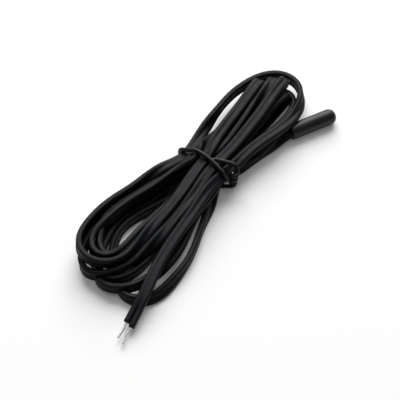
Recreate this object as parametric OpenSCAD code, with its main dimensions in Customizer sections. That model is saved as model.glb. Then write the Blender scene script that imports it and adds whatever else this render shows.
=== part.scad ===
// Temperature sensor: a moulded probe head on a flat twin cord, which is wound into a hank,
// held by a round twist tie and ends in two stripped and tinned conductors.
// Millimetres. The head lies along X with its tip at +X; the origin is under its middle, on the surface.

/* [Probe head] */
// Diameter of the head
head_d = 5; // [4.6:0.1:6]
// Length of the head from its rear face to its tip
head_l = 16; // [15:0.5:24]
// Length of the domed tip
dome_l = 2.5; // [2:0.1:3]
// How square the dome is: 2 is a plain ellipse
dome_power = 2.3; // [2:0.1:3]
// Radius of the rounded edge at the rear
rear_round = 0.5; // [0.2:0.1:0.7]
// Wall of the jacket round the potting
jacket_wall = 0.7; // [0.5:0.05:0.8]
// Length of cord that is moulded into the rear of the jacket
cord_grip = 3; // [2:0.5:4]

/* [Thermistor] */
// Diameter of the coated bead
bead_d = 2.2; // [1.8:0.1:2.6]
// Length of the coated bead
bead_l = 3.2; // [2.6:0.1:3.6]
// Gap from the bead to the inside of the dome
bead_gap = 0.4; // [0.3:0.1:0.8]
// Diameter of the bead's thin wires
bead_lead_d = 0.3; // [0.2:0.05:0.35]
// Distance between the two wires where they leave the bead
bead_lead_pitch = 0.9; // [0.8:0.1:1.2]
// Outer diameter of the sleeve on one bead wire
sleeve_d = 0.7; // [0.6:0.05:0.8]
// Outer diameter of a crimped splice barrel
splice_d = 1; // [0.9:0.05:1.3]
// Length of a splice barrel
splice_l = 2.4; // [2:0.2:3]

/* [Flat twin cord] */
// Width of the cord across both cores
cord_w = 3.7; // [3.3:0.1:3.8]
// Thickness of the cord
cord_t = 1.85; // [1.6:0.05:1.9]
// Diameter of one stranded conductor
core_d = 0.5; // [0.4:0.05:0.6]
// Length of bare conductor between the cord's insulation and the end of its splice
core_bare_l = 3; // [2.6:0.2:4]

/* [Hank] */
// Distance from the head's middle to the tied waist, along the head
hank_x = -39; // [-42:1:-38]
// Sideways distance from the head's axis to the tied waist
hank_y = -2; // [-2.5:0.5:-1.5]
// Angle between the hank and the head
hank_turn = 25; // [23:1:26]
// Top of the lowest turns
low_top = 3.4; // [3:0.1:3.6]
// Top of the middle turns
mid_top = 6.2; // [5.8:0.1:6.4]
// Top of the upper turns
hank_top = 8.6; // [8:0.1:9]
// Underside of the open turn that passes over the head's rear end
arch_bottom = 5.9; // [5.8:0.1:6.1]
// Top of that open turn
arch_top = 8; // [7.6:0.1:8.4]

/* [Cut end] */
// Length of the shorter of the two separated cores
split_a_l = 3.5; // [2.5:0.5:4.5]
// Length of the longer of the two separated cores
split_b_l = 5; // [4:0.5:6.5]
// Angle by which each separated core leans away from the other
split_angle = 4; // [3:0.5:6]
// Length of the stripped and tinned conductor
tinned_l = 6; // [5:0.5:9]
// Diameter of the tinned conductor
tinned_d = 0.6; // [0.4:0.1:0.8]

/* [Twist tie] */
// Outer diameter of the tie's plastic coat
tie_d = 1.1; // [0.9:0.1:1.2]
// Diameter of the wire inside the coat
tie_core_d = 0.45; // [0.3:0.05:0.5]
// Length of bare wire that shows at each cut end of the tie
tie_core_out = 0.3; // [0.2:0.1:0.6]
// Clearance between the tie and what it is tied round
tie_clear = 0.15; // [0.1:0.05:0.3]
// Number of turns in the tie's twisted ends
knot_turns = 1.5; // [1:0.5:2]

/* [Hidden] */
$fn = 48;

head_r = head_d / 2;
rear_x = -head_l / 2;
tip_x = head_l / 2;
dome_x = tip_x - dome_l;
bore_r = head_r - jacket_wall;
bore_x = rear_x + cord_grip;

// The cord's two cores lie at equal distances on both sides of its middle
core_y = cord_w / 4;
cord_end_x = bore_x + 0.5;
splice_x = cord_end_x + core_bare_l - splice_l;
splice_end_x = splice_x + splice_l;
splice_mid_x = splice_x + splice_l / 2;
splice_fit = 0.02;
bead_end_x = tip_x - jacket_wall - bead_gap;
bead_x = bead_end_x - bead_l;
lead_bend_x = splice_end_x + (bead_x - splice_end_x) * 0.35;
lead_meet_x = splice_end_x + (bead_x - splice_end_x) * 0.8;
sleeve_fit = 0.03;

// Section of the cord as a tube: its flat sides with their corners cut off
edge_flat = 0.8;
edge_cut = 0.55;
cord_section = [
    [cord_w / 2, -edge_flat / 2], [cord_w / 2, edge_flat / 2],
    [cord_w / 2 - edge_cut, cord_t / 2], [edge_cut - cord_w / 2, cord_t / 2],
    [-cord_w / 2, edge_flat / 2], [-cord_w / 2, -edge_flat / 2],
    [edge_cut - cord_w / 2, -cord_t / 2], [cord_w / 2 - edge_cut, -cord_t / 2]
];

// Route of the cord between the head and the hank, from the head's rear, in the head's frame
lead_hank_x = -13;
lead_route = [[cord_end_x, 0, head_r], [rear_x, 0, head_r], [lead_hank_x, 0, head_r]];

// Outlines of the hank's layers of turns, in the hank's frame: U runs along the hank towards the
// head's end and V runs across it. Each is a smooth closed curve through these points.
low_outline = [
    [0, 8], [-12, 8], [-28, 9.5], [-40, 9.5], [-47, 6.5], [-51, 0], [-52, -8], [-51, -14], [-46, -18],
    [-38, -19], [-27, -17], [-15, -12], [-6, -8.5], [0, -8],
    [8, -8.3], [15, -10.5], [19.5, -11.4], [22.6, -9.8], [25, -7.2], [30, -6.2], [35.5, -3], [36.5, 3],
    [33, 7], [24, 8.5], [12, 8]
];
low_eye = [[-19, 2.2], [-30, 4], [-38, 3.5], [-41, 1], [-38, -1.2], [-30, -1.2], [-21, 0.2]];
low_slit = [[-14, -9.6], [-26, -13.2], [-36, -15.2], [-44, -14.5], [-44.5, -15.8], [-36, -16.8], [-26, -14.8],
    [-15, -10.6]];
mid_outline = [
    [0, 9], [-12, 9.5], [-28, 11.5], [-40, 12], [-47, 10], [-51, 5], [-52.5, -2], [-51, -8], [-46, -12],
    [-38, -14.3], [-27, -12.5], [-15, -9.5], [-6, -8.8], [0, -9],
    [9, -8.5], [21, -8.2], [30, -7], [36, -6], [41, -3], [42.5, 2], [41, 6], [36, 9], [26, 9], [12, 8.6]
];
mid_eye = [[-21, 1.6], [-31, 3], [-39, 3.2], [-42.5, 1], [-40, -1.5], [-31, -1.8], [-22, -0.2]];
top_outline = [
    [0, 7], [-8, 8.5], [-17, 11], [-28, 14], [-35, 15], [-42, 14], [-47, 11], [-49, 6], [-47, 1.5], [-41, -3.5],
    [-32, -7.5], [-20, -9], [-8, -7.8], [0, -7],
    [9, -7.2], [20, -7.5], [31, -6], [39, -3.5], [42.5, -0.5], [43.5, 3], [41.5, 5.5], [36, 8.8], [26, 8.5],
    [12, 7]
];
top_eye = [[-12, 3.5], [-20, 6], [-30, 8.8], [-38, 9], [-43, 7], [-43.5, 3.5], [-39, 0.5], [-30, -1.5], [-18, -1]];
arch_outline = [
    [2.6, 8.5], [12, 10.8], [19.5, 12.6], [26, 13.4], [33, 12.7], [38.5, 11], [43.5, 9], [47.2, 5.6], [48.3, 1.3],
    [47, -2.7], [43.3, -6.4], [38.5, -8.8], [32, -10.4], [21, -9.8], [9, -8], [2.6, -7]
];
arch_eye = [
    [7, 6.5], [12, 8.6], [19.5, 10.4], [26, 11.3], [33, 10.7], [38, 9.2], [42.5, 7.2], [45.4, 4.6], [46.3, 1.3],
    [45, -2], [42, -4.6], [38, -6], [31, -6.6], [21, -5.8], [10, -4]
];
// Straight stretches that the lead and the tail have within the hank, as far as their own tubes:
// the lead's starts at the waist
run_side = 0.25;
tail_run_from = [-34, -12];
tail_run_to = [-51.5, -15.5];
tail_run_turn = atan2(tail_run_to.y - tail_run_from.y, tail_run_to.x - tail_run_from.x);
tail_run_l = norm(tail_run_to - tail_run_from);

// Route of the tail from the hank to where its cores part: distance along it and height
tail_z = low_top + cord_t / 2;
tail_route = [[0, 0, tail_z], [0.6, 0, tail_z], [1.3, 0, 4], [2, 0, 3.6], [2.8, 0, 3.2]];
tail_pitch = 11;
tail_end = tail_route[len(tail_route) - 1];
split_y = core_y + 0.03;
split_lap = 0.4;

// Section of the waist inside the tie, and the tie's route round it
tie_r = tie_d / 2;
tie_off = tie_r + tie_clear;
groove_w = tie_d + 2 * tie_clear;
groove_z = tie_d + 2 * tie_clear;
tie_lean = 3;
knot_from = [1, -10.6, 5.4];
knot_pitch = 3;
knot_r = tie_r + 0.06;
tie_loop = [
    [-1, -9 - tie_off - 0.25, mid_top - 0.2], [-0.8, -8.1, hank_top + 0.3], [0, -4, hank_top + tie_off],
    [1, 3, hank_top + tie_off], [1.4, 7.6, hank_top + 0.45], [1.6, 9 + tie_off, mid_top - 0.4],
    [1.2, 9 + tie_off, 3.6], [0.7, 9.2, 1], [0.4, 7.4, tie_r + 0.05], [0, 0, tie_r + 0.05],
    [-0.4, -7.4, tie_r + 0.05], [-0.4, -9.5, 1], [-0.2, -9 - tie_off - 0.3, 3]
];
tie_back = [[8.4, -9.4, 8], [6.5, -7.6, hank_top + 0.5], [5, -5, hank_top + tie_off], [4, -2.2, hank_top + tie_off]];

// Vectors and curves
function unit(v) = v / norm(v);
function along(p, i) = unit(p[min(i + 1, len(p) - 1)] - p[max(i - 1, 0)]);
function square_to(s, t) = unit(s - (s * t) * t);
function curve(a, b, c, d, t) =
    0.5 * (2 * b + (c - a) * t + (2 * a - 5 * b + 4 * c - d) * t * t + (3 * b - a - 3 * c + d) * t * t * t);
// A smooth closed curve through the points, with steps chords for each of them
function closed_curve(p, steps) = let (n = len(p)) [
    for (i = [0 : n - 1], k = [0 : steps - 1])
        curve(p[(i + n - 1) % n], p[i], p[(i + 1) % n], p[(i + 2) % n], k / steps)
];
// A smooth open curve through the points
function open_curve(p, steps) = let (n = len(p)) concat(
    [for (i = [0 : n - 2], k = [0 : steps - 1])
        curve(p[max(i - 1, 0)], p[i], p[i + 1], p[min(i + 2, n - 1)], k / steps)],
    [p[n - 1]]
);
// The sideways direction at each point of a path, which turns as little as the path allows
function sides(p, first) = [
    for (i = 0, s = square_to(first, along(p, 0)); i < len(p);
        i = i + 1, s = i < len(p) ? square_to(s, along(p, i)) : s) s
];
function rings(path, section, side) = let (s = sides(path, side)) [
    for (i = [0 : len(path) - 1]) let (up = cross(along(path, i), s[i]))
        [for (q = section) path[i] + q.x * s[i] + q.y * up]
];
function circle_points(r, n) = [for (i = [0 : n - 1]) [r * cos(i * 360 / n), r * sin(i * 360 / n)]];
function flat_list(lists) = [for (l = lists, x = l) x];
// The faces between one ring of n corners and the next, for m rings from corner number at
function wall(n, m, at, inward) = [
    for (i = [0 : m - 2], k = [0 : n - 1]) let (
        a = at + i * n + k,
        b = at + i * n + (k + 1) % n,
        c = b + n,
        d = a + n
    ) inward ? [a, b, c, d] : [a, d, c, b]
];

module tube(path, section, side) {
    r = rings(path, section, side);
    n = len(section);
    m = len(r);
    first = [for (k = [0 : n - 1]) k];
    last = [for (k = [n - 1 : -1 : 0]) (m - 1) * n + k];
    polyhedron(flat_list(r), concat([first], wall(n, m, 0, false), [last]), convexity = 8);
}

module hollow_tube(path, outer, inner, side) {
    r = rings(path, outer, side);
    q = rings(path, inner, side);
    n = len(outer);
    m = len(r);
    at = n * m;
    first = [for (k = [0 : n - 1]) let (j = (k + 1) % n) [k, j, at + j, at + k]];
    last = [for (k = [0 : n - 1]) let (j = (k + 1) % n, e = (m - 1) * n) [e + j, e + k, at + e + k, at + e + j]];
    polyhedron(
        concat(flat_list(r), flat_list(q)),
        concat(first, wall(n, m, 0, false), wall(n, m, at, true), last),
        convexity = 8
    );
}

// A bar along X from x to x + l, centred on y and z
module bar(x, y, z, d, l) {
    translate([x, y, z]) rotate([0, 90, 0]) cylinder(d = d, h = l);
}

// Turns a profile of distance along the head and radius about the head's axis
module turned(profile) {
    translate([0, 0, head_r]) rotate([0, 90, 0]) rotate_extrude()
        polygon([for (q = profile) [q.y, q.x]]);
}

function dome_profile(from_x, l, r, steps) = [
    for (i = [0 : steps]) let (a = i * 90 / steps)
        [from_x + l * pow(sin(a), 2 / dome_power), r * pow(cos(a), 2 / dome_power)]
];

module head_space() {
    turned(concat([[bore_x, 0], [bore_x, bore_r]], dome_profile(dome_x, dome_l - jacket_wall, bore_r, 8)));
}

module cord_space() {
    translate([rear_x - 1, 0, head_r]) rotate([90, 0, 90])
        linear_extrude(cord_end_x - rear_x + 1) polygon(cord_section);
}

module probe_jacket() {
    color("#1b1c1e") difference() {
        turned(concat(
            [[rear_x, 0]],
            [for (a = [0 : 15 : 90])
                [rear_x + rear_round * (1 - cos(a)), head_r - rear_round * (1 - sin(a))]],
            dome_profile(dome_x, dome_l, head_r, 10)
        ));
        head_space();
        cord_space();
    }
}

module thermistor_bead() {
    color("#2b2f33") turned(concat(
        [[bead_x, 0]],
        [for (a = [20 : 14 : 160])
            [bead_x + bead_l * (1 - cos(a)) / 2 - bead_l * (1 - cos(20)) / 2, bead_d / 2 * sin(a)]],
        [[bead_end_x, 0]]
    ));
}

// The route of one bead wire, on the side given as 1 or -1
function lead_points(side) = [
    [splice_mid_x, side * core_y, head_r], [lead_bend_x, side * core_y, head_r],
    [lead_meet_x, side * bead_lead_pitch / 2, head_r], [bead_x, side * bead_lead_pitch / 2, head_r]
];

// A thin wire with a polygon for its section
module wire(p, d) {
    tube(p, circle_points(d / 2, 8), [0, 0, 1]);
}

module bead_lead(side) {
    color("silver") wire(lead_points(side), bead_lead_d);
}

// The sleeve runs from its splice to the narrow end of the wires
function sleeve_points() = let (p = lead_points(1)) [[splice_end_x, p[1].y, head_r], p[1], p[2]];

module lead_sleeve() {
    color("#c9a24a") hollow_tube(
        sleeve_points(),
        circle_points(sleeve_d / 2, 8),
        circle_points(bead_lead_d / 2 + sleeve_fit, 8),
        [0, 0, 1]
    );
}

module splice(side) {
    color("silver") difference() {
        bar(splice_x, side * core_y, head_r, splice_d, splice_l);
        bar(splice_x - 1, side * core_y, head_r, core_d + 2 * splice_fit, splice_l + 2);
    }
}

module core(side) {
    color("#b87333") bar(cord_end_x, side * core_y, head_r, core_d, splice_mid_x - cord_end_x);
}

// The resin takes the space that the head's other inner pieces leave
module potting() {
    color("#3a3a36") difference() {
        head_space();
        cord_space();
        thermistor_bead();
        wire(sleeve_points(), sleeve_d);
        for (side = [-1, 1]) {
            bar(splice_x, side * core_y, head_r, splice_d, splice_l);
            core(side);
            bead_lead(side);
        }
    }
}

module cord_lead() {
    color("#202124") tube(lead_route, cord_section, [0, 1, 0]);
}

module at_hank() {
    translate([hank_x, hank_y, 0]) rotate([0, 0, hank_turn]) children();
}

// One layer of turns: its outline with the eyes that show through it
module layer(outline, eyes, from_z, to_z) {
    translate([0, 0, from_z]) linear_extrude(to_z - from_z) difference() {
        polygon(closed_curve(outline, 3));
        for (eye = eyes) polygon(closed_curve(eye, 3));
    }
}

// The space of a straight stretch of cord that starts at the origin and runs along X
module run(l, z) {
    translate([0, -cord_w / 2 - run_side, z - cord_t / 2 - run_side])
        cube([l, cord_w + 2 * run_side, cord_t + 2 * run_side]);
}

module cord_hank() {
    color("#202124") difference() {
        union() {
            at_hank() {
                layer(low_outline, [low_eye, low_slit], 0, low_top);
                layer(mid_outline, [mid_eye], low_top, mid_top);
                layer(top_outline, [top_eye], mid_top, hank_top);
                layer(arch_outline, [arch_eye], arch_bottom, arch_top);
                translate([tail_run_from.x, tail_run_from.y, 0]) rotate([0, 0, tail_run_turn])
                    run(tail_run_l, tail_z);
            }
            translate([hank_x, 0, 0]) run(lead_hank_x - hank_x, head_r);
        }
        at_hank() tie_groove();
    }
}

// The tie passes under the waist in a groove between the strands
module tie_groove() {
    translate([-groove_w / 2, 0, 0]) rotate([0, 0, -tie_lean])
        translate([0, -20, -1]) cube([groove_w, 40, 1 + groove_z]);
}

module at_tail() {
    at_hank() translate([tail_run_to.x, tail_run_to.y, 0]) rotate([0, 0, tail_run_turn]) children();
}

// The frame of one separated core, whose X runs along it from where the cores part
module at_split(side) {
    translate(tail_end) rotate([0, tail_pitch, 0]) translate([0, side * split_y, 0])
        rotate([0, 0, side * split_angle]) children();
}

// It starts a little before the place where the cores part, inside the cord
module separated_core(l) {
    translate([-split_lap, 0, 0]) rotate([0, 90, 0]) cylinder(d = cord_t, h = l + split_lap);
}

module cord_tail() {
    color("#202124") at_tail() {
        tube(tail_route, cord_section, [0, 1, 0]);
        at_split(-1) separated_core(split_a_l);
        at_split(1) separated_core(split_b_l);
    }
}

module tinned_end(side, start) {
    color("gainsboro") at_tail() at_split(side)
        translate([start, 0, 0]) rotate([0, 90, 0]) cylinder(d = tinned_d, h = tinned_l);
}

// One of the tie's two twisted ends: a helix along the hank's side
function knot(phase) = [
    for (i = [0 : 1 : 8 * knot_turns]) let (a = phase + i * 45)
        knot_from + [i / 8 * knot_pitch + 0.6, knot_r * cos(a), knot_r * sin(a)]
];
tie_path = concat(
    [for (i = [8 * knot_turns : -1 : 0]) knot(180)[i]],
    open_curve(tie_loop, 2),
    knot(0),
    open_curve(tie_back, 2)
);

module tie_coat() {
    color("#1b1c1e") at_hank()
        hollow_tube(tie_path, circle_points(tie_r, 8), circle_points(tie_core_d / 2, 8), [1, 0, 0]);
}

// The bare wire reaches past the coat at both cut ends
function longer(p, l) = concat(
    [p[0] + l * unit(p[0] - p[1])], p, [p[len(p) - 1] + l * unit(p[len(p) - 1] - p[len(p) - 2])]
);

module tie_core() {
    color("silver") at_hank()
        tube(longer(tie_path, tie_core_out), circle_points(tie_core_d / 2, 8), [1, 0, 0]);
}

probe_jacket();
potting();
thermistor_bead();
bead_lead(1);  // bead_lead_a
bead_lead(-1);  // bead_lead_b
lead_sleeve();
splice(1);  // splice_a
splice(-1);  // splice_b
core(1);  // core_a
core(-1);  // core_b
cord_lead();
cord_hank();
cord_tail();
tinned_end(-1, split_a_l);  // tinned_end_a
tinned_end(1, split_b_l);  // tinned_end_b
tie_coat();
tie_core();
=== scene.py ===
"""The looks of the temperature sensor: a moulded probe head on a flat twin cord, wound into a tied hank.

The cord is one piece. Its route is worked out turn by turn in the hank's own frame, in millimetres, and
then settled, so that the turns lie on and beside each other. Where some cross deep inside the hank, they
still pass partly through each other.
"""
import itertools
import math

import bpy
import numpy as np
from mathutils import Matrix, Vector


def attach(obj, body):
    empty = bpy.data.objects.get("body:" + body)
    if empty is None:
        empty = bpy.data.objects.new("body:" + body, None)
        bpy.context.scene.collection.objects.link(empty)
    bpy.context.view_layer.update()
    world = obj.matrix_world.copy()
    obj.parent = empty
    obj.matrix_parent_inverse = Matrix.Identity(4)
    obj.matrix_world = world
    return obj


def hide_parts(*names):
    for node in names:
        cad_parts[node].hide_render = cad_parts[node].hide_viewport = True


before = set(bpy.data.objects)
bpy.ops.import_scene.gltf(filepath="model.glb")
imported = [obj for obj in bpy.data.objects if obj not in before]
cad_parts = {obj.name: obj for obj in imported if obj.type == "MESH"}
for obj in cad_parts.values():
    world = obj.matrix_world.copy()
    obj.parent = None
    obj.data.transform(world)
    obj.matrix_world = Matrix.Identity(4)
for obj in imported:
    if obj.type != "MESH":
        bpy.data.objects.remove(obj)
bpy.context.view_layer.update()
MM = 0.001

# The photograph's view: angles in degrees, distances in metres, the lens and the sensor in millimetres
CAMERA_ELEVATION = 50
CAMERA_AZIMUTH = -28.1
CAMERA_DISTANCE = 0.6
CAMERA_LENS = 180.9
CAMERA_SENSOR = 36
CAMERA_NEAR = 0.05
CAMERA_FAR = 5
CAMERA_TARGET = Vector((-46.3, -12.7, 5)) * MM

# The cord and its hank's place, as in the CAD model. From here on, lengths are in millimetres
CORD_T = 1.85
LOBE_R = CORD_T / 2
HANK_AT = np.array([-39.0, -2.0, 0.0])
HANK_TURN = math.radians(25)

# Directions in the hank's frame: u along it towards the head's end, v across it, and up. They are the
# cord's own direction from one core to the other where it lies flat, where it stands on edge and between
FLAT = np.array([0.0, 1.0, 0.0])
EDGE = np.array([0.0, 0.0, 1.0])
LEANING = np.array([0.0, 0.64, 0.77])

# What is left between things that touch
HAIR = 0.03

# The tie: its radius over the coat and that of its wire, its gaps to what lies on it and to the surface,
# and where it lies along the hank, by the place across
TIE_R = 0.66
TIE_CORE_R = 0.225
TIE_GAP = 0.05
TIE_LIFT = 0.01
TIE_ACROSS = (-9, -7, -4.7, -1.6, 2.5, 5.4, 8.4)
TIE_ALONG = (-0.9, -0.7, -0.2, 0.5, 0.8, 0.7, 0.3)

# The waist: the cord's passes of it lie on the tie, which runs under them, and inside a rounded outline.
# The tie holds what is within HELD_BY_TIE of it, and closes on what is within UNDER_TIE
WAIST_HALF = 8.8
WAIST_TOP = 8.8
WAIST_BOTTOM = 2 * TIE_R + TIE_GAP
WAIST_MIDDLE = (WAIST_TOP + WAIST_BOTTOM) / 2
WAIST_POWER = 3
HELD_BY_TIE = 1.2
UNDER_TIE = 0.9


def set_camera():
    elevation = math.radians(CAMERA_ELEVATION)
    azimuth = math.radians(CAMERA_AZIMUTH)
    back = Vector((
        math.cos(elevation) * math.sin(azimuth),
        -math.cos(elevation) * math.cos(azimuth),
        math.sin(elevation),
    ))
    camera = bpy.data.objects.new("camera", bpy.data.cameras.new("camera"))
    bpy.context.scene.collection.objects.link(camera)
    camera.location = CAMERA_TARGET + back * CAMERA_DISTANCE
    camera.rotation_euler = back.to_track_quat("Z", "Y").to_euler()
    camera.data.lens = CAMERA_LENS
    camera.data.sensor_width = CAMERA_SENSOR
    camera.data.clip_start = CAMERA_NEAR
    camera.data.clip_end = CAMERA_FAR
    bpy.context.scene.camera = camera


set_camera()


def mix(a, b, t):
    return a * (1 - t) + b * t


def ease(t, start, over):
    """Goes smoothly from 0 to 1 while t goes from start to start + over."""
    t = min(1, max(0, (t - start) / over))
    return t * t * (3 - 2 * t)


def unit(vectors):
    return vectors / np.linalg.norm(vectors, axis=-1, keepdims=True)


def rotated(vectors, angle):
    """Vectors turned about the vertical."""
    c, s = math.cos(angle), math.sin(angle)
    x, y, z = np.asarray(vectors, float).T
    return np.stack([x * c - y * s, x * s + y * c, z], axis=-1)


def from_part(points):
    """From the part's frame to the hank's, in millimetres."""
    return rotated(np.array(points, float) - HANK_AT, -HANK_TURN)


def to_part(points):
    """From the hank's frame in millimetres to the part's frame in metres."""
    return (rotated(points, HANK_TURN) + HANK_AT) * MM


def slot(v, z):
    """A place in the waist, across it and above the surface."""
    return np.array([0.0, v, z])


# Where along its reach a turn's two legs are given
STATIONS = (0.3, 0.62, 0.88)

# A level turn has points between those too: how far each lies across from one given place to the next.
# Its height, its tip's height and its tip's stance come in over a range of the reach, given as a start and
# a length, and it turns from flat to on edge over EDGE_OVER of the reach
LEVEL_SHARES = (0.13, STATIONS[0], 0.46, STATIONS[1], 0.76, STATIONS[2], 0.967)
LEVEL_BETWEEN = (0.5, 0.59, 0.36, 0.6)
LEVEL_HEIGHT = (0, 0.3)
TIP_HEIGHT = (0.45, 0.5)
TIP_STANCE = (0.6, 0.4)
EDGE_OVER = 0.33

# A folded turn has one point more, near the tie. Its height comes in over one range of the reach, and it
# goes back to flat over another. Its fold is a half circle of a few steps
FOLDED_SHARES = (0.15,) + STATIONS
FOLDED_HEIGHT = (0, 0.6)
FOLDED_FLAT = (0.62, 0.3)
FOLD_STEPS = 4


def level_turn(
    way, out, back, reach, tip, out_v, back_v, out_z, tip_z, back_z, out_flat=0.12, back_flat=0.12, tip_edge=1
):
    """A turn that lies level, on edge. way is -1 at the near end and 1 at the far end.

    Each leg has its places across the hank at the stations, its height, and the share of the reach up to
    which it lies flat as it does at the waist. tip and tip_z are the place of the turn's end, and tip_edge
    is how far the cord stands on edge there.
    """
    legs = []
    for start, places, z, flat_to in ((out, out_v, out_z, out_flat), (back, back_v, back_z, back_flat)):
        first, second, third = places
        across = (
            mix(start[1], first, LEVEL_BETWEEN[0]),
            first,
            mix(first, second, LEVEL_BETWEEN[1]),
            second,
            mix(second, third, LEVEL_BETWEEN[2]),
            third,
            mix(tip, third, LEVEL_BETWEEN[3]),
        )
        leg = []
        for share, v in zip(LEVEL_SHARES, across):
            height = mix(mix(start[2], z, ease(share, *LEVEL_HEIGHT)), tip_z, ease(share, *TIP_HEIGHT))
            edge = ease(share, flat_to, EDGE_OVER) * mix(1, tip_edge, ease(share, *TIP_STANCE))
            leg.append(((way * share * reach, v, height), mix(FLAT, EDGE, edge)))
        legs.append(leg)
    return legs[0] + [((way * reach, tip, tip_z), mix(FLAT, EDGE, tip_edge))] + legs[1][::-1]


def folded_turn(out, back, reach, tip, out_v, back_v, top, low, bulge=(0, 0), top_edge=0):
    """A turn at the far end that stands up: the flat cord runs out below, folds over and comes back on top.

    tip moves the fold aside. bulge moves the top leg aside and up where it leaves the tie, and top_edge is
    how far that leg stands on edge.
    """
    r = (top - low) / 2
    legs = []
    for start, places, z, aside, edge in ((out, out_v, low, (0, 0), 0), (back, back_v, top, bulge, top_edge)):
        across = (mix(start[1], places[0], 0.5) + aside[0],) + places
        lifts = (aside[1], 0, 0, 0)
        leg = []
        for share, v, lift in zip(FOLDED_SHARES, across, lifts):
            side = mix(FLAT, EDGE, edge * (1 - ease(share, *FOLDED_FLAT)))
            height = mix(start[2], z, ease(share, *FOLDED_HEIGHT)) + lift
            leg.append(((share * (reach - r), v, height), side))
        legs.append(leg)
    fold = []
    for k in range(FOLD_STEPS + 1):
        angle = math.pi / 2 - k * math.pi / FOLD_STEPS
        v = mix(out_v[2], back_v[2], k / FOLD_STEPS) + tip
        fold.append(((reach - r + r * math.cos(angle), v, (top + low) / 2 - r * math.sin(angle)), FLAT))
    return legs[0] + fold + legs[1][::-1]


# The turns in the order in which they are wound, one at the near end and then one at the far end, each
# with the places of its two passes of the waist
NEAR_TURNS = [
    dict(
        out=slot(-5.6, 2.0), back=slot(1.9, 2.0), reach=51.2, tip=-11.0,
        out_v=(-10.9, -16.7, -17.1), back_v=(2.9, 7.2, -0.6),
        out_z=1.9, tip_z=1.3, back_z=1.5, out_flat=-0.04, back_flat=0.05, tip_edge=0.4,
    ),
    dict(
        out=slot(-5.9, 3.85), back=slot(1.9, 3.85), reach=52.2, tip=-3.2,
        out_v=(-7.9, -12.8, -10.8), back_v=(4.6, 8.9, 4.2),
        out_z=4.4, tip_z=2.5, back_z=1.9, out_flat=0.6, back_flat=0.17,
    ),
    dict(
        out=slot(-3.9, 5.6), back=slot(5.6, 2.0), reach=50.4, tip=-1.6,
        out_v=(-4.2, -6.9, -6.8), back_v=(6.4, 10.8, 6.4),
        out_z=3.4, tip_z=2.6, back_z=1.9, back_flat=0.05,
    ),
    dict(
        out=slot(3.0, 5.5), back=slot(-1.9, 2.0), reach=45.6, tip=2.2,
        out_v=(7.6, 11.3, 8.8), back_v=(-3.0, -3.8, -2.4),
        out_z=5.0, tip_z=4.6, back_z=2.6,
    ),
    dict(
        out=slot(-3.2, 7.5), back=slot(5.6, 3.85), reach=52.2, tip=4.6,
        out_v=(-5.5, -6.2, -4.0), back_v=(8.2, 13.6, 9.6),
        out_z=7.3, tip_z=4.2, back_z=2.2, out_flat=0.5, back_flat=0.17, tip_edge=0.8,
    ),
    dict(
        out=slot(-0.5, 5.7), back=slot(4.5, 7.1), reach=47.4, tip=2.8,
        out_v=(-0.7, 0.5, -0.3), back_v=(5.6, 9.7, 9.8),
        out_z=4.6, tip_z=6.2, back_z=6.6, back_flat=-0.1,
    ),
    dict(
        out=slot(0.9, 7.6), back=slot(6.8, 5.8), reach=50.2, tip=5.9,
        out_v=(-2.3, -3.5, -3.5), back_v=(9.5, 13.8, 12.5),
        out_z=7.8, tip_z=6.9, back_z=6.7, out_flat=0.54,
    ),
]
FAR_TURNS = [
    dict(
        out=slot(1.9, 2.0), back=slot(-5.9, 3.85), reach=42.6, tip=0.3,
        out_v=(2.6, 2.8, 2.4), back_v=(-6.6, -7.2, -6.0),
        out_z=1.2, tip_z=2.0, back_z=3.8, out_flat=0.5,
    ),
    dict(
        out=slot(1.9, 3.85), back=slot(-3.9, 5.6), reach=41.4, tip=0,
        out_v=(-1.0, -2.4, -1.8), back_v=(-3.4, -2.6, -1.9), top=6.2, low=1.2,
    ),
    dict(
        out=slot(5.6, 2.0), back=slot(3.0, 5.5), reach=33.0, tip=0,
        out_v=(6.0, 6.0, 4.8), back_v=(3.6, 4.4, 4.6), top=6.0, low=1.0,
    ),
    dict(
        out=slot(-1.9, 2.0), back=slot(-3.2, 7.5), reach=44.0, tip=0.8,
        out_v=(-0.8, 0.2, 0.4), back_v=(-3.2, -2.0, -0.2), top=8.0, low=4.6, bulge=(-0.5, 0),
    ),
    dict(
        out=slot(5.6, 3.85), back=slot(-0.5, 5.7), reach=42.6, tip=0.4,
        out_v=(3.9, 3.4, 3.3), back_v=(-0.1, 1.4, 3.0), top=7.2, low=4.7, bulge=(-0.7, 0.7), top_edge=1,
    ),
    dict(
        out=slot(4.5, 7.1), back=slot(0.9, 7.6), reach=39.2, tip=0.2,
        out_v=(4.9, 5.2, 6.0), back_v=(3.2, 4.2, 5.5), top=8.0, low=2.9, bulge=(-0.4, 0),
    ),
    dict(
        out=slot(6.8, 5.8), back=slot(-7.2, 6.2), reach=46.2, tip=1.4,
        out_v=(9.6, 11.4, 8.4), back_v=(-7.8, -10.4, -7.2),
        out_z=5.0, tip_z=4.6, back_z=6.9, back_flat=0.65,
    ),
]

# The two ends of the cord that aren't wound. From inside the head's rear, in the part's frame, and on to
# the waist, in the hank's frame
LEAD_START = [(-4.5, 0, 2.5), (-8, 0, 2.5), (-9.2, 0, 2.5)]
LEAD = [
    ((25.2, -10.6, 2.35), mix(FLAT, EDGE, 0.5)),
    ((22.4, -10.2, 2.1), EDGE),
    ((17.3, -9.1, 1.9), EDGE),
    ((12.4, -7.9, 1.9), EDGE),
    ((6.0, -6.5, 1.6), mix(FLAT, EDGE, 0.6)),
]
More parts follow.
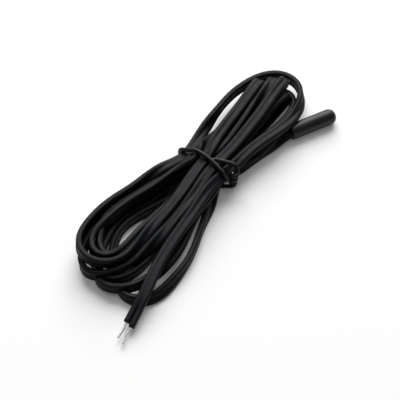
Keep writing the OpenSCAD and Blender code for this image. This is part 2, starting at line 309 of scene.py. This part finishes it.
# From the waist to the tail's straight end, which goes the way from TAIL_FROM to TAIL_TO, and how high it
# is at distances past TAIL_TO, up to where the cores part
TAIL = [
    ((-6, -6.6, 7.5), FLAT),
    ((-13, -7.9, 7.5), FLAT),
    ((-20, -9.1, 7.2), FLAT),
    ((-27, -10.1, 6.8), FLAT),
    ((-33.5, -11.1, 6.3), FLAT),
    ((-41, -12.5, 5.5), FLAT),
    ((-46, -14.0, 4.9), FLAT),
    ((-49.4, -15.1, 4.45), FLAT),
]
TAIL_FROM = np.array([-34.0, -12.0, 0.0])
TAIL_TO = np.array([-51.5, -15.5, 0.0])
TAIL_END = [(0, 4.1), (1.4, 3.62), (2.8, 3.2)]

# The cut end: how long each parted core's sheath is and how far its wire reaches, for side -1 and side 1
# of the cord, how far the cores point down, and how far each leans away from the other
SPLIT_L = {-1: 4.1, 1: 5.0}
TINNED_TIP = {-1: 9.7, 1: 11.0}
SPLIT_PITCH = math.radians(11)
SPLIT_ANGLE = math.radians(0.6)

TAIL_AHEAD = unit(TAIL_TO - TAIL_FROM)
TAIL_ACROSS = np.cross(EDGE, TAIL_AHEAD)
CORES_AHEAD = TAIL_AHEAD * math.cos(SPLIT_PITCH) - EDGE * math.sin(SPLIT_PITCH)


def tail_point(along, z):
    return TAIL_TO + along * TAIL_AHEAD + z * EDGE


def design_route():
    """The points of the cord's route from the head to where its cores part, with its direction across."""
    points = [(p, rotated(FLAT, -HANK_TURN)) for p in from_part(LEAD_START)] + LEAD
    for near, far in zip(NEAR_TURNS, FAR_TURNS):
        points.append((near["out"], FLAT))
        points += level_turn(-1, **near)
        points.append((near["back"], EDGE if near.get("back_flat", 0) < 0 else FLAT))
        points += folded_turn(**far) if "top" in far else level_turn(1, **far)
    points.append((FAR_TURNS[-1]["back"], LEANING))
    return points + TAIL + [(tail_point(along, z), -TAIL_ACROSS) for along, z in TAIL_END]


# Chords of a smooth curve between each two of its points, and the distance between the cord's own points
SPAN_STEPS = 8
STEP = 1.0


def smooth(points):
    """A curve through the points."""
    points = np.array(points, float)
    curve = []
    for i in range(len(points) - 1):
        a, b, c = points[max(i - 1, 0)], points[i], points[i + 1]
        d = points[min(i + 2, len(points) - 1)]
        square = 2 * a - 5 * b + 4 * c - d
        cube = 3 * b - a - 3 * c + d
        for t in np.arange(SPAN_STEPS) / SPAN_STEPS:
            curve.append(0.5 * (2 * b + (c - a) * t + square * t ** 2 + cube * t ** 3))
    return np.array(curve + [points[-1]])


def distances(path):
    """How far along a path each of its points is."""
    return np.concatenate([[0], np.cumsum(np.linalg.norm(np.diff(path, axis=0), axis=1))])


def read_at(values, along, at):
    """What values that are known at the distances along are at other distances."""
    return np.stack([np.interp(at, along, column) for column in values.T], axis=1)


def spaced(points, steps):
    """Points at equal distances along a smooth curve through the given ones."""
    curve = smooth(points)
    along = distances(curve)
    return read_at(curve, along, np.linspace(0, along[-1], steps + 1))


def evenly(centres, sideways):
    """The same path with its points a step apart, and the directions kept square to it."""
    along = distances(centres)
    at = np.linspace(0, along[-1], int(round(along[-1] / STEP)) + 1)
    centres = read_at(centres, along, at)
    sideways = read_at(sideways, along, at)
    forward = unit(np.gradient(centres, axis=0))
    sideways -= (sideways * forward).sum(axis=1)[:, None] * forward
    return centres, unit(sideways)


def carried(path, first):
    """Directions square to a path that turn as little as the path allows."""
    side = []
    last = np.array(first, float)
    for f in unit(np.gradient(path, axis=0)):
        last = unit(last - (last @ f) * f)
        side.append(last)
    return np.array(side)


# How the cord is settled: the rounds, after how many of them the beads near each other are looked up and
# how much further than touching, the beads along the cord that count as one stretch, the beads at each end
# that stay, and the pull towards the design in the first round
ROUNDS = 600
LOOK_UP_AFTER = 8
LOOK_BEYOND = 0.9
ONE_STRETCH = 4
HELD = 6
PULL = 0.02
# What each kind of request counts for: to keep the distance to a neighbour and to the bead diagonally
# opposite, to lie on a line with beads at these distances, and to stay clear of other stretches
LINK_WEIGHT = 1.0
BRACE_WEIGHT = 0.6
LINE_REACHES = (1, 3)
LINE_WEIGHT = 0.25
CLEAR_WEIGHT = 1.5
# How far beyond the mean of what is asked a bead moves, and how often the result is smoothed
EAGERNESS = 1.2
SMOOTHINGS = 6
# Keeps two beads at one place from having no distance
TINY = 1e-9


def core_rows(centres, sideways):
    """The middles of the cord's two cores, one row after the other."""
    return np.concatenate([centres + LOBE_R * sideways, centres - LOBE_R * sideways])


def close_pairs(beads):
    """Pairs of beads that touch or nearly do, and are not of the same stretch of cord."""
    reach = CORD_T + LOOK_BEYOND
    count = len(beads) // 2
    cell = np.floor(beads / reach).astype(np.int64)
    cell -= cell.min(axis=0) - 1
    size = cell.max(axis=0) + 2
    key = (cell[:, 0] * size[1] + cell[:, 1]) * size[2] + cell[:, 2]
    order = np.argsort(key, kind="stable")
    ordered = key[order]
    every = np.arange(len(beads))
    firsts, seconds = [], []
    for dx, dy, dz in itertools.product((-1, 0, 1), repeat=3):
        near = key + (dx * size[1] + dy) * size[2] + dz
        low = np.searchsorted(ordered, near, "left")
        n = np.searchsorted(ordered, near, "right") - low
        first = np.repeat(every, n)
        start = np.repeat(low - np.concatenate([[0], np.cumsum(n)[:-1]]), n)
        second = order[start + np.arange(n.sum())]
        keep = second > first
        firsts.append(first[keep])
        seconds.append(second[keep])
    first, second = np.concatenate(firsts), np.concatenate(seconds)
    keep = np.abs(first % count - second % count) > ONE_STRETCH
    first, second = first[keep], second[keep]
    keep = np.linalg.norm(beads[first] - beads[second], axis=1) < reach
    return first[keep], second[keep]


def tie_place(v):
    """Where along the hank the tie lies, by the place across."""
    return np.interp(v, TIE_ACROSS, TIE_ALONG)


def within_bounds(beads):
    """Above the surface, and at the waist inside the tie."""
    beads[:, 2] = np.maximum(beads[:, 2], LOBE_R)
    at_waist = np.abs(beads[:, 0] - tie_place(beads[:, 1])) < HELD_BY_TIE
    v, z = beads[at_waist, 1], beads[at_waist, 2] - WAIST_MIDDLE
    v_share = np.abs(v / (WAIST_HALF - LOBE_R))
    z_share = np.abs(z / ((WAIST_TOP - WAIST_BOTTOM) / 2 - LOBE_R))
    outside = (v_share ** WAIST_POWER + z_share ** WAIST_POWER) ** (1 / WAIST_POWER)
    scale = 1 / np.maximum(outside, 1)
    beads[at_waist, 1] = v * scale
    beads[at_waist, 2] = z * scale + WAIST_MIDDLE
    return beads


def ladder(count, step):
    """The pairs of neighbouring beads, with the distance between them and what it counts for."""
    row = np.arange(count - 1)
    rung = np.arange(count)
    both = np.concatenate([row, row + count])
    following = np.concatenate([row + 1, row + count + 1])
    crossing = np.concatenate([row + count + 1, row + 1])
    return [
        (both, following, step, LINK_WEIGHT),
        (rung, rung + count, CORD_T, LINK_WEIGHT),
        (both, crossing, math.hypot(step, CORD_T), BRACE_WEIGHT),
    ]


def asked_by_links(beads, links):
    """The moves that keep each bead at its distances from its neighbours."""
    asked = []
    for a, b, length, weight in links:
        gap = beads[b] - beads[a]
        distance = np.linalg.norm(gap, axis=1)
        move = gap * ((distance - length) / distance / 2)[:, None]
        asked += [(a, move, weight), (b, -move, weight)]
    return asked


def asked_by_lines(beads):
    """The moves that bring each bead onto a line with one before it and one after it."""
    asked = []
    count = len(beads) // 2
    for reach in LINE_REACHES:
        row = np.arange(count - 2 * reach)
        a = np.concatenate([row, row + count])
        b, c = a + reach, a + 2 * reach
        move = (beads[a] + beads[c]) / 2 - beads[b]
        asked += [(b, move / 2, LINE_WEIGHT), (a, -move / 4, LINE_WEIGHT), (c, -move / 4, LINE_WEIGHT)]
    return asked


def asked_by_touch(beads, first, second):
    """The moves that take overlapping beads apart."""
    gap = beads[second] - beads[first]
    distance = np.linalg.norm(gap, axis=1) + TINY
    touching = distance < CORD_T
    move = gap[touching] * ((CORD_T - distance[touching]) / distance[touching] / 2)[:, None]
    return [(first[touching], -move, CLEAR_WEIGHT), (second[touching], move, CLEAR_WEIGHT)]


def agreed(asked, count):
    """How far each bead moves, by what is asked of it."""
    total = np.zeros((count, 3))
    votes = np.zeros(count)
    for index, move, weight in asked:
        for k in range(3):
            total[:, k] += np.bincount(index, move[:, k] * weight, count)
        votes += np.bincount(index, minlength=count) * weight
    return EAGERNESS * total / np.maximum(votes, 1)[:, None]


def settle(centres, sideways):
    """Lets the cord take a form close to the one designed, in which it passes through itself least.

    The cord is a ladder of two rows of beads, one for each core. In each round every bead is asked to
    keep its distance from its neighbours, to lie on a smooth line, and to stay clear of other stretches.
    """
    count = len(centres)
    beads = core_rows(centres, sideways)
    home = beads.copy()
    place = np.tile(np.arange(count), 2)
    ends = (place < HELD) | (place >= count - HELD)
    links = ladder(count, np.linalg.norm(np.diff(centres, axis=0), axis=1).mean())
    for turn in range(ROUNDS):
        if turn % LOOK_UP_AFTER == 0:
            pairs = close_pairs(beads)
        asked = asked_by_links(beads, links) + asked_by_lines(beads) + asked_by_touch(beads, *pairs)
        beads += agreed(asked, len(beads))
        beads += (home - beads) * PULL * (1 - turn / ROUNDS)
        beads = within_bounds(beads)
        beads[ends] = home[ends]
    centres = (beads[:count] + beads[count:]) / 2
    sideways = beads[:count] - beads[count:]
    for values in (centres, sideways):
        for _ in range(SMOOTHINGS):
            values[1:-1] = (values[:-2] + 2 * values[1:-1] + values[2:]) / 4
    return centres, unit(sideways)


# The cord's section: how square its lobes are, how deep their fine ridges and how many round a core, the
# angle between two points, half the thickness at the valley between the lobes and half the valley's width
SQUARENESS = 2 / 3
RIDGE = 0.07
RIDGES = 10
SECTION_STEP = 18
VALLEY = 0.8
VALLEY_HALF = 0.12
# The angle up to which a lobe's outline is part of the twin section
LOBE_TO = 126


def lobe_point(degrees):
    """A point of one core's outline: a circle with slightly flattened sides and fine ridges along it."""
    angle = math.radians(degrees)
    c, s = math.cos(angle), math.sin(angle)
    r = LOBE_R - RIDGE * (1 - math.cos(angle * RIDGES)) / 2
    return r * math.copysign(abs(c) ** SQUARENESS, c), r * math.copysign(abs(s) ** SQUARENESS, s)


def lobe_section(shrink):
    return [tuple(shrink * c for c in lobe_point(a)) for a in range(-180, 180, SECTION_STEP)]


def twin_section(valley, shrink):
    """The cord's section: two lobes with a valley between them, as places across and through it."""
    lobe = [lobe_point(a) for a in range(-LOBE_TO, LOBE_TO + 1, SECTION_STEP)]
    side = [(LOBE_R + x, y) for x, y in lobe if LOBE_R + x > VALLEY_HALF]
    outline = side + [(0.0, valley)] + [(-x, -y) for x, y in side] + [(0.0, -valley)]
    return [(x * shrink, y * shrink) for x, y in outline]


def circle(r, count):
    return [(r * math.cos(a), r * math.sin(a)) for a in np.arange(count) * math.pi / (count / 2)]


def swept(name, path, sideways, sections):
    """A closed mesh of sections swept along a path in the hank's frame."""
    centres = to_part(path)
    sideways = rotated(sideways, HANK_TURN)
    up = np.cross(unit(np.gradient(centres, axis=0)), sideways)
    n = len(sections[0])
    verts = []
    for c, s, u, section in zip(centres, sideways, up, sections):
        verts += [c + (s * x + u * y) * MM for x, y in section]
    faces = []
    for i in range(len(centres) - 1):
        for k in range(n):
            j = (k + 1) % n
            faces.append((i * n + k, i * n + j, (i + 1) * n + j, (i + 1) * n + k))
    faces += [tuple(range(n))[::-1], tuple(range((len(centres) - 1) * n, len(centres) * n))]
    mesh = bpy.data.meshes.new(name)
    mesh.from_pydata([tuple(v) for v in verts], [], faces)
    mesh.update()
    for face in mesh.polygons:
        face.use_smooth = len(face.vertices) == 4
    piece = bpy.data.objects.new(name, mesh)
    bpy.context.scene.collection.objects.link(piece)
    return piece


def joined(name, parts):
    """Makes one mesh of several."""
    bpy.ops.object.select_all(action="DESELECT")
    for part in parts:
        part.select_set(True)
    bpy.context.view_layer.objects.active = parts[0]
    bpy.ops.object.join()
    parts[0].name = name
    return parts[0]


def simple_material(name, color, roughness):
    material = bpy.data.materials.new(name)
    material.use_nodes = True
    shader = material.node_tree.nodes["Principled BSDF"]
    shader.inputs["Base Color"].default_value = (*color, 1)
    shader.inputs["Roughness"].default_value = roughness
    return material


# How many times larger than the grain the patches of gloss and of tone are, the least roughness of a patch,
# the noise values between which the tone changes, and the grain's height in metres
GLOSS_PATCH = 6
TONE_PATCH = 14
LEAST_ROUGHNESS = 0.05
TONE_FROM = 0.3
TONE_TO = 0.7
GRAIN_HEIGHT = 0.00003


def grained(name, color, roughness, metal=0.0, specular=0.5, scale=900, relief=0.2, vary=0.12, shade=0.25):
    """A material whose gloss and tone vary a little, with a fine grain."""
    material = simple_material(name, color, roughness)
    tree = material.node_tree
    shader = tree.nodes["Principled BSDF"]
    shader.inputs["Metallic"].default_value = metal
    shader.inputs["Specular IOR Level"].default_value = specular
    where = tree.nodes.new("ShaderNodeTexCoord")

    def noise(size, detail):
        node = tree.nodes.new("ShaderNodeTexNoise")
        node.inputs["Scale"].default_value = size
        node.inputs["Detail"].default_value = detail
        tree.links.new(where.outputs["Object"], node.inputs["Vector"])
        return node.outputs["Fac"]

    gloss = tree.nodes.new("ShaderNodeMapRange")
    gloss.inputs["To Min"].default_value = max(LEAST_ROUGHNESS, roughness - vary)
    gloss.inputs["To Max"].default_value = min(1, roughness + vary)
    tree.links.new(noise(scale / GLOSS_PATCH, detail=4), gloss.inputs["Value"])
    tree.links.new(gloss.outputs["Result"], shader.inputs["Roughness"])
    tone = tree.nodes.new("ShaderNodeValToRGB")
    dark, pale = tone.color_ramp.elements
    dark.position = TONE_FROM
    pale.position = TONE_TO
    dark.color = (*[c * (1 - shade) for c in color], 1)
    pale.color = (*[min(1, c * (1 + shade)) for c in color], 1)
    tree.links.new(noise(scale / TONE_PATCH, detail=3), tone.inputs["Fac"])
    tree.links.new(tone.outputs["Color"], shader.inputs["Base Color"])
    bump = tree.nodes.new("ShaderNodeBump")
    bump.inputs["Strength"].default_value = relief
    bump.inputs["Distance"].default_value = GRAIN_HEIGHT
    tree.links.new(noise(scale, detail=5), bump.inputs["Height"])
    tree.links.new(bump.outputs["Normal"], shader.inputs["Normal"])
    return material


CORD_VINYL = grained("cord_vinyl", (0.0055, 0.0064, 0.0080), 0.5, specular=0.13, scale=2400, relief=0.25)
TIE_VINYL = grained("tie_vinyl", (0.009, 0.0102, 0.0115), 0.4, specular=0.25, scale=2600, relief=0.2)
TINNED = grained(
    "tinned_wire", (0.64, 0.64, 0.63), 0.3, metal=1, scale=4000, relief=0.3, vary=0.15, shade=0.08
)
GALVANISED = grained(
    "galvanised_wire", (0.62, 0.62, 0.6), 0.35, metal=1, scale=4000, relief=0.3, vary=0.15, shade=0.1
)


def on_root(piece, material, slot_name, *nodes):
    piece.data.materials.append(material)
    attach(piece, "root")
    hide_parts(*nodes)


# Inside the cord, each core's tube comes from these distances back, up and inwards of where the cores part
CORE_ROOTS = ((2.4, 0.72, 0.08), (1.2, 0.34, 0.05))
CORE_STEPS = 12
# The sizes of the core's rings: smaller where the cord's own end still covers it and round its cut edge,
# the last two rings of which lie this far past the cut
CORE_SIZES = [0.82, 0.92, 0.97] + [1.0] * 9 + [0.985, 0.93, 0.42]
CUT_EDGE = (0.03, 0.04)


def split_frame(side):
    """Where one separated core starts, and its direction."""
    start = tail_point(*TAIL_END[-1]) + side * (LOBE_R + HAIR) * TAIL_ACROSS
    lean = side * SPLIT_ANGLE
    return start, CORES_AHEAD * math.cos(lean) + TAIL_ACROSS * math.sin(lean)


def split_core(side):
    """One separated core: it leaves its neighbour a little at a time and is cut off square."""
    start, forward = split_frame(side)
    points = [
        start - TAIL_AHEAD * back + EDGE * up - side * inwards * TAIL_ACROSS
        for back, up, inwards in CORE_ROOTS
    ]
    points += [start, start + forward * SPLIT_L[side] / 2, start + forward * SPLIT_L[side]]
    path = spaced(points, CORE_STEPS)
    path = np.concatenate([path] + [path[-1:] + forward * k for k in CUT_EDGE])
    return swept("core", path, carried(path, TAIL_ACROSS), [lobe_section(k) for k in CORE_SIZES])


# The bare conductor's radius, how much of it is inside its sheath, its steps, the points of a ring, its
# strands, how deep the furrows between them are, and how far they wind in a step
TINNED_R = 0.3
TINNED_INSIDE = 0.4
TINNED_STEPS = 48
TINNED_RING = 24
STRANDS = 6
FURROW = 0.07
WIND = 0.13
# The share of its bend that the conductor has a quarter of its way out
QUARTER_BEND = 0.35
# The bead of tin: how much thicker it is, where along the conductor, and how long; and where the conductor
# closes and to what size
BEAD_SWELL = 0.22
BEAD_AT = 0.97
BEAD_LENGTH = 0.035
TIP_FROM = 0.985
TIP_SIZE = 0.35


def tinned_end(side, name, bend):
    """A stranded conductor, twisted and dipped in tin, with a bead of tin at its cut end."""
    start, forward = split_frame(side)
    root = start + forward * (SPLIT_L[side] - TINNED_INSIDE)
    tip = start + forward * TINNED_TIP[side]
    quarter = (root * 3 + tip) / 4 + TAIL_ACROSS * bend * QUARTER_BEND
    middle = (root + tip) / 2 + TAIL_ACROSS * bend
    path = spaced([root, quarter, middle, tip], TINNED_STEPS)
    sections = []
    for i in range(len(path)):
        t = i / TINNED_STEPS
        bead = 1 + BEAD_SWELL * math.exp(-((t - BEAD_AT) / BEAD_LENGTH) ** 2)
        close = 1 if t < TIP_FROM else TIP_SIZE
        ring = []
        for k in range(TINNED_RING):
            a = k * 2 * math.pi / TINNED_RING
            r = TINNED_R * (1 - FURROW + FURROW * math.cos(STRANDS * (a - i * WIND))) * bead * close
            ring.append((r * math.cos(a), r * math.sin(a)))
        sections.append(ring)
    piece = swept("tinned_wire_" + name, path, carried(path, TAIL_ACROSS), sections)
    on_root(piece, TINNED, "tinned_wire", "tinned_end_" + name)


# How the cord's tube ends where the cores part: its valley over the last steps, and its size
END_STEPS = 4
END_VALLEY = 0.1
TAPER_STEPS = 3
END_SIZE = 0.9


def make_cord():
    route = design_route()
    centres, sideways = evenly(smooth([p for p, _ in route]), smooth([w for _, w in route]))
    centres, sideways = settle(centres, sideways)
    last = len(centres) - 1
    at = np.arange(last + 1)
    valleys = np.interp(at, [0, last - END_STEPS, last], [VALLEY, VALLEY, END_VALLEY])
    shrinks = np.interp(at, [0, last - TAPER_STEPS, last], [1, 1, END_SIZE])
    sections = [twin_section(valley, shrink) for valley, shrink in zip(valleys, shrinks)]
    tube = swept("cord", centres, sideways, sections)
    cord = joined("cord", [tube, split_core(-1), split_core(1)])
    on_root(cord, CORD_VINYL, "cord_sheath", "cord_lead", "cord_hank", "cord_tail")
    return cord, centres, sideways


# The tie's loop: in how many directions the cores under it are widened to find its own middle, how many
# points it has before every third is kept, and the angles between which they are kept, seen along the hank.
# Under the hank it strays along it by only a share of what it does on top
SPOKES = 24
LOOP_POINTS = 120
LOOP_KEEP = 3
LOOP_FROM = 162
LOOP_TO = -160
UNDER_SHARE = 0.25
# The knot: its axis, the angle at which its strands start, and its turns
KNOT_FROM = np.array([0.1, -10.35, 3.9])
KNOT_TO = np.array([1.7, -10.1, 7.7])
KNOT_PHASE = 200
KNOT_TURNS = 1.3
KNOT_STEPS = 8
# The tie's free end, which goes back over the waist
FREE_END = [(3.1, -9.9, 8.6), (3.2, -8.9, 9.3), (2.7, -7.2, 9.6), (1.9, -4.9, 9.6), (1.0, -2.7, 9.7)]
TIE_STEPS = 300
TIE_RING = 16
# The tie's cut coat: the sizes of its last rings. Its wire's distances along it, from inside to the cut
# end, and its sizes there
COAT_SIZES = (0.94, 0.5)
STUB_AT = (-0.3, 0, 0.315, 0.35, 0.37)
STUB_SIZES = (1, 1, 1, 0.8, 0.3)


def hull(points):
    """The convex outline of points in a plane, counterclockwise."""
    points = points[np.lexsort((points[:, 1], points[:, 0]))]

    def chain(ordered):
        kept = []
        for p in ordered:
            while len(kept) > 1:
                a, b = kept[-1] - kept[-2], p - kept[-2]
                if a[0] * b[1] - a[1] * b[0] > 0:
                    break
                kept.pop()
            kept.append(p)
        return kept[:-1]

    return np.array(chain(points) + chain(points[::-1]))


def tie_loop(centres, sideways):
    """The tie drawn tight round the waist, from the front of the knot over the top and back under it."""
    beads = core_rows(centres, sideways)
    inside = beads[np.abs(beads[:, 0] - tie_place(beads[:, 1])) < UNDER_TIE][:, 1:]
    spokes = circle(LOBE_R + TIE_R + HAIR, SPOKES)
    ring = hull(np.concatenate([inside + np.array(spoke) for spoke in spokes]))
    ring = np.concatenate([ring, ring[:1]])
    along = distances(ring)
    ring = read_at(ring, along, np.linspace(0, along[-1], LOOP_POINTS + 1)[:-1])
    angle = np.degrees(np.arctan2(ring[:, 1] - WAIST_MIDDLE, ring[:, 0]))
    ring = ring[np.argsort(-angle)]
    angle = np.sort(angle)[::-1]
    kept = ring[(angle < LOOP_FROM) & (angle > LOOP_TO)][::LOOP_KEEP]
    shares = np.where(kept[:, 1] > WAIST_MIDDLE, 1.0, UNDER_SHARE)
    return [(tie_place(v) * share, v, max(z, TIE_R + TIE_LIFT)) for (v, z), share in zip(kept, shares)]


def knot_strand(phase):
    """One of the tie's two ends in the knot, as it winds round the other."""
    axis = unit(KNOT_TO - KNOT_FROM)
    first = unit(np.cross(axis, FLAT))
    second = np.cross(axis, first)
    points = []
    for t in np.arange(KNOT_STEPS + 1) / KNOT_STEPS:
        a = math.radians(phase + 360 * KNOT_TURNS * t)
        offset = (TIE_R + HAIR) * (first * math.cos(a) + second * math.sin(a))
        points.append(tuple(mix(KNOT_FROM, KNOT_TO, t) + offset))
    return points


def make_tie(centres, sideways):
    route = knot_strand(KNOT_PHASE)[::-1] + tie_loop(centres, sideways)
    route += knot_strand(KNOT_PHASE + 180) + FREE_END
    path = spaced(route, TIE_STEPS)
    side = carried(path, (1, 0, 0))
    first, last = unit(path[0] - path[1]), unit(path[-1] - path[-2])
    before = [path[0] + k * first for k in CUT_EDGE[::-1]]
    after = [path[-1] + k * last for k in CUT_EDGE]
    sizes = COAT_SIZES[::-1] + (1.0,) * len(path) + COAT_SIZES
    coat = swept(
        "tie_wire_coat", np.concatenate([before, path, after]),
        np.concatenate([side[:1], side[:1], side, side[-1:], side[-1:]]),
        [circle(TIE_R * k, TIE_RING) for k in sizes],
    )
    on_root(coat, TIE_VINYL, "tie_sheath", "tie_coat")
    stubs = []
    for end, way, across in ((path[0], first, side[0]), (path[-1], last, side[-1])):
        stub = np.array([end + way * k for k in STUB_AT])
        rings = [circle(TIE_CORE_R * k, TIE_RING) for k in STUB_SIZES]
        stubs.append(swept("stub", stub, np.tile(across, (len(stub), 1)), rings))
    on_root(joined("tie_wire", stubs), GALVANISED, "tie_wire", "tie_core")


cord, centres, sideways = make_cord()
tinned_end(-1, "a", bend=0.25)
tinned_end(1, "b", bend=-0.25)
make_tie(centres, sideways)


def dress_cad():
    """Gives the CAD solids that stay their materials."""
    looks = {
        "probe_jacket": grained(
            "head_moulding", (0.0105, 0.011, 0.0125), 0.42, specular=0.35, scale=1600, relief=0.3
        ),
        "potting": grained("resin", (0.05, 0.05, 0.045), 0.25),
        "thermistor_bead": grained("bead_coating", (0.03, 0.035, 0.04), 0.25),
        "lead_sleeve": grained("sleeve_film", (0.6, 0.38, 0.1), 0.25),
        "bead_lead": TINNED,
        "splice": grained("splice_metal", (0.7, 0.7, 0.68), 0.35, metal=1),
        "core": grained("bare_copper", (0.72, 0.4, 0.27), 0.3, metal=1, scale=3000),
    }
    for name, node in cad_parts.items():
        for start, material in looks.items():
            if name.startswith(start):
                node.data.materials.clear()
                node.data.materials.append(material)


dress_cad()

# The room, in metres: the floor as the camera sees it, as other light meets it, and its own glow; the light
# from all round; the place that all lamps point at; and the lamps' places, sizes and power
FLOOR_SIZE = 4
FLOOR_SEEN = (0.97, 0.97, 0.965)
FLOOR_MET = (0.3, 0.3, 0.3)
FLOOR_GLOW = 0.08
SURROUNDING_LIGHT = 0.13
LAMPS_POINT_AT = Vector((-0.04, -0.01, 0))
LAMPS = {
    "behind": ((0.68, 1.34, 1.35), 2.2, 59),
    "overhead": ((-0.1, 0.0, 0.8), 0.7, 0.8),
}


def floor_material():
    """White as the camera and reflections see it, and darker in the light that it throws back."""
    material = simple_material("floor_white", FLOOR_SEEN, roughness=0.9)
    tree = material.node_tree
    shader = tree.nodes["Principled BSDF"]
    shader.inputs["Specular IOR Level"].default_value = 0
    rays = tree.nodes.new("ShaderNodeLightPath")
    seen = rays.outputs["Is Camera Ray"]
    for kind in ("Is Glossy Ray", "Is Transmission Ray"):
        either = tree.nodes.new("ShaderNodeMath")
        either.operation = "MAXIMUM"
        tree.links.new(seen, either.inputs[0])
        tree.links.new(rays.outputs[kind], either.inputs[1])
        seen = either.outputs["Value"]
    shade = tree.nodes.new("ShaderNodeMix")
    shade.data_type = "RGBA"
    shade.inputs["A"].default_value = (*FLOOR_MET, 1)
    shade.inputs["B"].default_value = (*FLOOR_SEEN, 1)
    tree.links.new(seen, shade.inputs["Factor"])
    tree.links.new(shade.outputs["Result"], shader.inputs["Base Color"])
    glow = tree.nodes.new("ShaderNodeMath")
    glow.operation = "MULTIPLY"
    glow.inputs[1].default_value = FLOOR_GLOW
    tree.links.new(seen, glow.inputs[0])
    shader.inputs["Emission Color"].default_value = (1, 1, 1, 1)
    tree.links.new(glow.outputs["Value"], shader.inputs["Emission Strength"])
    return material


def make_lamp(name, at, size, power):
    data = bpy.data.lights.new(name, "AREA")
    data.shape = "DISK"
    data.size = size
    data.energy = power
    light = bpy.data.objects.new(name, data)
    bpy.context.scene.collection.objects.link(light)
    light.location = at
    light.rotation_euler = (Vector(at) - LAMPS_POINT_AT).to_track_quat("Z", "Y").to_euler()


def make_room():
    bpy.ops.mesh.primitive_plane_add(size=FLOOR_SIZE, location=(0, 0, 0))
    floor = bpy.context.object
    floor.name = "floor"
    floor.data.materials.append(floor_material())
    scene = bpy.context.scene
    scene.view_settings.view_transform = "Standard"
    world = bpy.data.worlds.new("world")
    world.use_nodes = True
    background = world.node_tree.nodes["Background"]
    background.inputs["Color"].default_value = (1, 1, 1, 1)
    background.inputs["Strength"].default_value = SURROUNDING_LIGHT
    scene.world = world
    for name, (at, size, power) in LAMPS.items():
        make_lamp(name, at, size, power)


make_room()

bpy.context.view_layer.update()
